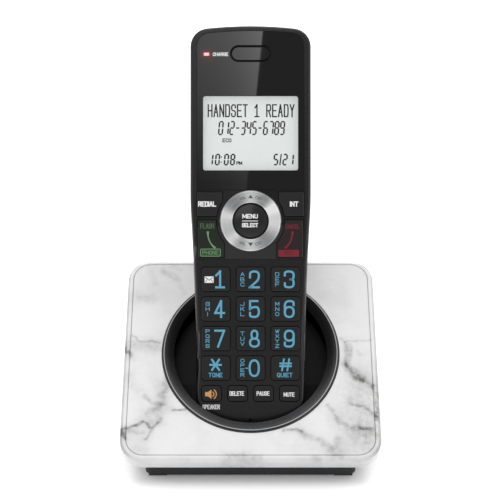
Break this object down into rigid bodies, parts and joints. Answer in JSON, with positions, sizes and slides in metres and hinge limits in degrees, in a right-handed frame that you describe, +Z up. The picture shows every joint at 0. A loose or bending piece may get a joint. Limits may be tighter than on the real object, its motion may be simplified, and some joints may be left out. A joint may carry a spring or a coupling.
{
  "type": "cordless phone",
  "caption": "Cordless phone: slim black handset with display, round navigation ring and keypad, leaning in the round well of a sloping square marble-look charging base.",
  "frame": {"origin": "on the table under the middle of the whole phone, at the centre of its bounding box in plan", "axes": "+Z up, +X to the right of someone facing the keys, +Y to the rear, away from that person"},
  "size_m": [0.103, 0.1148, 0.1577],
  "materials": {
    "marble_plastic": "polished cream marble-look moulding with grey veins",
    "black_gloss": "piano black gloss",
    "black_satin": "fine satin black",
    "well_black": "dark moulded plastic",
    "key_black": "satin black key caps",
    "ring_silver": "circularly brushed silver",
    "lens_clear": "clear window in a black lens",
    "lcd_glass": "pale display",
    "light_guide": "clear acrylic",
    "earpiece_black": "black",
    "board_green": "green board",
    "mat_rubber": "dark rubber",
    "dome_steel": "plain steel",
    "contact_metal": "plated spring metal",
    "battery_wrap": "shrink film",
    "connector_plastic": "moulded connector"
  },
  "bodies": {
    "base": {"marble_housing": "marble_plastic", "marble_faceplate": "marble_plastic", "cradle_trim_ring": "black_gloss", "cradle_well": "well_black", "base_charge_contacts": "contact_metal", "base_bottom_shell": "well_black", "base_circuit_board": "board_green", "telephone_line_jack": "connector_plastic", "power_jack": "connector_plastic", "base_antenna": "contact_metal", "find_key_switch": "connector_plastic", "base_screws": "dome_steel", "rubber_feet": "mat_rubber"},
    "handset": {"handset_front_shell": "black_satin", "handset_rear_shell": "black_satin", "display_lens": "lens_clear", "control_bezel": "black_gloss", "lcd_module": "lcd_glass", "lcd_backlight": "light_guide", "earpiece_bar": "earpiece_black", "earpiece_receiver": "earpiece_black", "microphone": "earpiece_black", "charge_light_pipe": "light_guide", "handset_circuit_board": "board_green", "rubber_key_mat": "mat_rubber", "key_domes": "dome_steel", "handset_antenna": "contact_metal", "handset_loudspeaker": "earpiece_black", "battery_pack": "battery_wrap", "battery_plug": "connector_plastic", "handset_charge_contacts": "contact_metal", "handset_screws": "dome_steel"},
    "key_1": {"key_1": "key_black"},
    "key_2": {"key_2": "key_black"},
    "key_3": {"key_3": "key_black"},
    "key_4": {"key_4": "key_black"},
    "key_5": {"key_5": "key_black"},
    "key_6": {"key_6": "key_black"},
    "key_7": {"key_7": "key_black"},
    "key_8": {"key_8": "key_black"},
    "key_9": {"key_9": "key_black"},
    "key_star": {"key_star": "key_black"},
    "key_0": {"key_0": "key_black"},
    "key_hash": {"key_hash": "key_black"},
    "speaker_key": {"speaker_key": "key_black"},
    "delete_key": {"delete_key": "key_black"},
    "pause_key": {"pause_key": "key_black"},
    "mute_key": {"mute_key": "key_black"},
    "redial_key": {"redial_key": "key_black"},
    "intercom_key": {"intercom_key": "key_black"},
    "talk_key": {"talk_key": "key_black"},
    "end_key": {"end_key": "key_black"},
    "menu_select_key": {"menu_select_key": "black_gloss"},
    "navigation_ring": {"navigation_ring": "ring_silver"},
    "battery_door": {"battery_door": "black_satin"},
    "find_handset_key": {"find_handset_key": "well_black"}
  },
  "joints": [
    {"name": "handset_lift_off", "type": "slide", "parent": "base", "child": "handset", "axis": [0, 0.4695, 0.8829], "range_m": [0, 0.12]},
    {"name": "key_1_press", "type": "slide", "parent": "handset", "child": "key_1", "axis": [0, 0.8829, -0.4695], "range_m": [0, 0.0008], "stiffness_N_per_m": 1500, "springref_m": -0.0003},
    {"name": "key_2_press", "type": "slide", "parent": "handset", "child": "key_2", "axis": [0, 0.8829, -0.4695], "range_m": [0, 0.0008], "stiffness_N_per_m": 1500, "springref_m": -0.0003},
    {"name": "key_3_press", "type": "slide", "parent": "handset", "child": "key_3", "axis": [0, 0.8829, -0.4695], "range_m": [0, 0.0008], "stiffness_N_per_m": 1500, "springref_m": -0.0003},
    {"name": "key_4_press", "type": "slide", "parent": "handset", "child": "key_4", "axis": [0, 0.8829, -0.4695], "range_m": [0, 0.0008], "stiffness_N_per_m": 1500, "springref_m": -0.0003},
    {"name": "key_5_press", "type": "slide", "parent": "handset", "child": "key_5", "axis": [0, 0.8829, -0.4695], "range_m": [0, 0.0008], "stiffness_N_per_m": 1500, "springref_m": -0.0003},
    {"name": "key_6_press", "type": "slide", "parent": "handset", "child": "key_6", "axis": [0, 0.8829, -0.4695], "range_m": [0, 0.0008], "stiffness_N_per_m": 1500, "springref_m": -0.0003},
    {"name": "key_7_press", "type": "slide", "parent": "handset", "child": "key_7", "axis": [0, 0.8829, -0.4695], "range_m": [0, 0.0008], "stiffness_N_per_m": 1500, "springref_m": -0.0003},
    {"name": "key_8_press", "type": "slide", "parent": "handset", "child": "key_8", "axis": [0, 0.8829, -0.4695], "range_m": [0, 0.0008], "stiffness_N_per_m": 1500, "springref_m": -0.0003},
    {"name": "key_9_press", "type": "slide", "parent": "handset", "child": "key_9", "axis": [0, 0.8829, -0.4695], "range_m": [0, 0.0008], "stiffness_N_per_m": 1500, "springref_m": -0.0003},
    {"name": "key_star_press", "type": "slide", "parent": "handset", "child": "key_star", "axis": [0, 0.8829, -0.4695], "range_m": [0, 0.0008], "stiffness_N_per_m": 1500, "springref_m": -0.0003},
    {"name": "key_0_press", "type": "slide", "parent": "handset", "child": "key_0", "axis": [0, 0.8829, -0.4695], "range_m": [0, 0.0008], "stiffness_N_per_m": 1500, "springref_m": -0.0003},
    {"name": "key_hash_press", "type": "slide", "parent": "handset", "child": "key_hash", "axis": [0, 0.8829, -0.4695], "range_m": [0, 0.0008], "stiffness_N_per_m": 1500, "springref_m": -0.0003},
    {"name": "speaker_key_press", "type": "slide", "parent": "handset", "child": "speaker_key", "axis": [0, 0.8829, -0.4695], "range_m": [0, 0.0008], "stiffness_N_per_m": 1500, "springref_m": -0.0003},
    {"name": "delete_key_press", "type": "slide", "parent": "handset", "child": "delete_key", "axis": [0, 0.8829, -0.4695], "range_m": [0, 0.0008], "stiffness_N_per_m": 1500, "springref_m": -0.0003},
    {"name": "pause_key_press", "type": "slide", "parent": "handset", "child": "pause_key", "axis": [0, 0.8829, -0.4695], "range_m": [0, 0.0008], "stiffness_N_per_m": 1500, "springref_m": -0.0003},
    {"name": "mute_key_press", "type": "slide", "parent": "handset", "child": "mute_key", "axis": [0, 0.8829, -0.4695], "range_m": [0, 0.0008], "stiffness_N_per_m": 1500, "springref_m": -0.0003},
    {"name": "redial_key_press", "type": "slide", "parent": "handset", "child": "redial_key", "axis": [0, 0.8829, -0.4695], "range_m": [0, 0.0008], "stiffness_N_per_m": 1500, "springref_m": -0.0003},
    {"name": "intercom_key_press", "type": "slide", "parent": "handset", "child": "intercom_key", "axis": [0, 0.8829, -0.4695], "range_m": [0, 0.0008], "stiffness_N_per_m": 1500, "springref_m": -0.0003},
    {"name": "talk_key_press", "type": "slide", "parent": "handset", "child": "talk_key", "axis": [0, 0.8829, -0.4695], "range_m": [0, 0.0008], "stiffness_N_per_m": 1500, "springref_m": -0.0003},
    {"name": "end_key_press", "type": "slide", "parent": "handset", "child": "end_key", "axis": [0, 0.8829, -0.4695], "range_m": [0, 0.0008], "stiffness_N_per_m": 1500, "springref_m": -0.0003},
    {"name": "menu_select_key_press", "type": "slide", "parent": "handset", "child": "menu_select_key", "axis": [0, 0.8829, -0.4695], "range_m": [0, 0.0008], "stiffness_N_per_m": 1500, "springref_m": -0.0003},
    {"name": "navigation_ring_rock", "type": "hinge", "parent": "handset", "child": "navigation_ring", "pos_m": [0, 0.0024, 0.08775], "axis": [1, 0, 0], "range_deg": [-3, 3], "stiffness_Nm_per_rad": 0.3},
    {"name": "battery_door_removal", "type": "slide", "parent": "handset", "child": "battery_door", "axis": [0, 0.8829, -0.4695], "range_m": [0, 0.025]},
    {"name": "find_handset_key_press", "type": "slide", "parent": "base", "child": "find_handset_key", "axis": [0, -1, 0], "range_m": [0, 0.0008], "stiffness_N_per_m": 1500, "springref_m": -0.0003}
  ]
}
